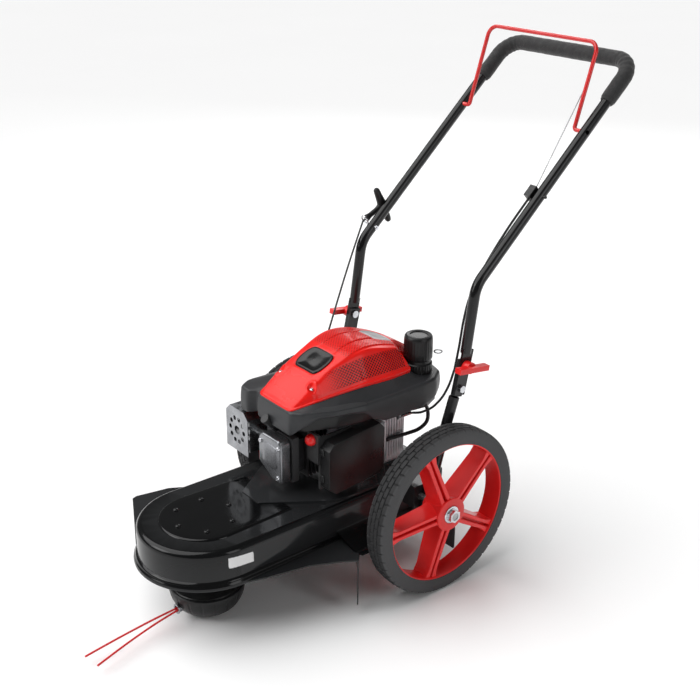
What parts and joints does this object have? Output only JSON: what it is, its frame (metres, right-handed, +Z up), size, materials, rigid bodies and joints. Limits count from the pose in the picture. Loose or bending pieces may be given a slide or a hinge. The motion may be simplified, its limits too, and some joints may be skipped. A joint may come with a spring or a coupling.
{
  "type": "walk-behind string trimmer",
  "caption": "Walk-behind wheeled string trimmer with a petrol engine, belt-driven line head under a sheet deck, spoked wheels and a folding U handle with a bail.",
  "frame": {"origin": "on the ground, under the middle of the machine's box without its trimmer lines; the wheel axle is 1 mm behind it", "axes": "+Z up, -Y the way the machine drives, +X its left side"},
  "size_m": [0.5348, 1.2414, 1.0462],
  "materials": {
    "frame_black": "gloss",
    "tube_black": "gloss",
    "cowl_red": "gloss",
    "red_plastic": "satin",
    "red_enamel": "gloss",
    "shroud_grey": "satin",
    "black_plastic": "satin",
    "foam": "matte foam",
    "rubber": "matte",
    "tyre": "matte",
    "cast_aluminium": "rough cast",
    "silver": "satin",
    "zinc": "bright zinc",
    "steel": "turned",
    "badge": "gloss",
    "nylon_red": "extruded nylon",
    "cable_black": "satin",
    "rope": "braided"
  },
  "bodies": {
    "chassis": {"axle": "steel", "axle_mounts": "frame_black", "bearing_housing": "cast_aluminium", "breather_hose": "cable_black", "cable_lower": "cable_black", "carburettor": "cast_aluminium", "cowl": "cowl_red", "cowl_badges": "badge", "crankcase": "cast_aluminium", "cylinder": "cast_aluminium", "deck_pan": "frame_black", "deck_shell": "frame_black", "drive_belt": "rubber", "engine_bolts": "zinc", "engine_plate": "frame_black", "fan_shroud": "shroud_grey", "filter_base": "black_plastic", "filter_cover": "black_plastic", "filter_element": "foam", "fuel_tank": "black_plastic", "handle_bolts": "zinc", "housing_screws": "frame_black", "lower_handle_left": "tube_black", "lower_handle_right": "tube_black", "muffler": "steel", "muffler_guard": "silver", "rear_flap": "rubber", "rear_guard": "frame_black", "spark_plug": "black_plastic", "spindle_bearings": "steel", "starter_rope": "rope", "valve_cover": "silver", "wheel_nuts": "zinc"},
    "wheel_left": {"rim_left": "red_plastic", "tyre_left": "tyre"},
    "wheel_right": {"rim_right": "red_plastic", "tyre_right": "tyre"},
    "crank": {"crankshaft": "steel", "flywheel": "cast_aluminium", "drive_pulley": "steel"},
    "cutting_head": {"spindle": "steel", "driven_pulley": "steel", "line_head": "black_plastic", "line_eyelet": "silver", "line_left": "nylon_red", "line_right": "nylon_red"},
    "handle": {"upper_handle": "tube_black", "foam_grip": "foam", "cable_clip": "black_plastic", "cable_upper": "cable_black", "brake_wire": "steel", "rope_guide": "zinc"},
    "bail_bar": {"bail": "red_enamel"},
    "pull_grip": {"starter_grip": "black_plastic"},
    "reel": {"recoil_reel": "black_plastic"},
    "wing_knob_left": {"knob_left": "red_plastic"},
    "wing_knob_right": {"knob_right": "red_plastic"},
    "filler_cap": {"fuel_cap": "black_plastic"},
    "primer": {"primer_bulb": "red_plastic"},
    "brake": {"brake_lever": "steel"}
  },
  "joints": [
    {"name": "wheel_left_spin", "type": "hinge", "parent": "chassis", "child": "wheel_left", "pos_m": [0.226, 0.001, 0.178], "axis": [1, 0, 0], "continuous": true},
    {"name": "wheel_right_spin", "type": "hinge", "parent": "chassis", "child": "wheel_right", "pos_m": [-0.226, 0.001, 0.178], "axis": [1, 0, 0], "continuous": true},
    {"name": "crank_spin", "type": "hinge", "parent": "chassis", "child": "crank", "pos_m": [0, -0.075, 0.25], "axis": [0, 0, 1], "continuous": true},
    {"name": "head_spin", "type": "hinge", "parent": "chassis", "child": "cutting_head", "pos_m": [0, -0.4136, 0.1], "axis": [0, 0, 1], "continuous": true},
    {"name": "handle_fold", "type": "hinge", "parent": "chassis", "child": "handle", "pos_m": [0, 0.084, 0.4027], "axis": [1, 0, 0], "range_deg": [0, 100]},
    {"name": "bail_squeeze", "type": "hinge", "parent": "handle", "child": "bail_bar", "pos_m": [0, 0.396, 0.876], "axis": [-1, 0, 0], "range_deg": [0, 23], "stiffness_Nm_per_rad": 1.2, "springref_deg": -20.05},
    {"name": "brake_release", "type": "hinge", "parent": "chassis", "child": "brake", "pos_m": [0.104, -0.01, 0.34], "axis": [0, 0, 1], "range_deg": [0, 12]},
    {"name": "starter_pull", "type": "slide", "parent": "handle", "child": "pull_grip", "axis": [0, 0.896, 0.444], "range_m": [0, 0.6], "stiffness_N_per_m": 12, "springref_m": -0.5},
    {"name": "reel_spin", "type": "hinge", "parent": "chassis", "child": "reel", "pos_m": [0, -0.075, 0.42], "axis": [0, 0, 1], "range_deg": [0, 960]},
    {"name": "knob_left_turn", "type": "hinge", "parent": "chassis", "child": "wing_knob_left", "pos_m": [0.19, 0.094, 0.4496], "axis": [1, 0, 0], "range_deg": [0, 720]},
    {"name": "knob_right_turn", "type": "hinge", "parent": "chassis", "child": "wing_knob_right", "pos_m": [-0.19, 0.094, 0.4496], "axis": [-1, 0, 0], "range_deg": [0, 720]},
    {"name": "fuel_cap_turn", "type": "hinge", "parent": "chassis", "child": "filler_cap", "pos_m": [0.062, 0.074, 0.44], "axis": [0, 0, 1], "range_deg": [0, 540]},
    {"name": "primer_press", "type": "slide", "parent": "chassis", "child": "primer", "axis": [0, 1, 0], "range_m": [0, 0.006], "stiffness_N_per_m": 800}
  ],
  "couplings": [
    {"joint": "head_spin", "follows": "crank_spin", "ratio": 0.88},
    {"joint": "brake_release", "follows": "bail_squeeze", "ratio": 0.5},
    {"joint": "reel_spin", "follows": "starter_pull", "rad_per_m": 27}
  ]
}
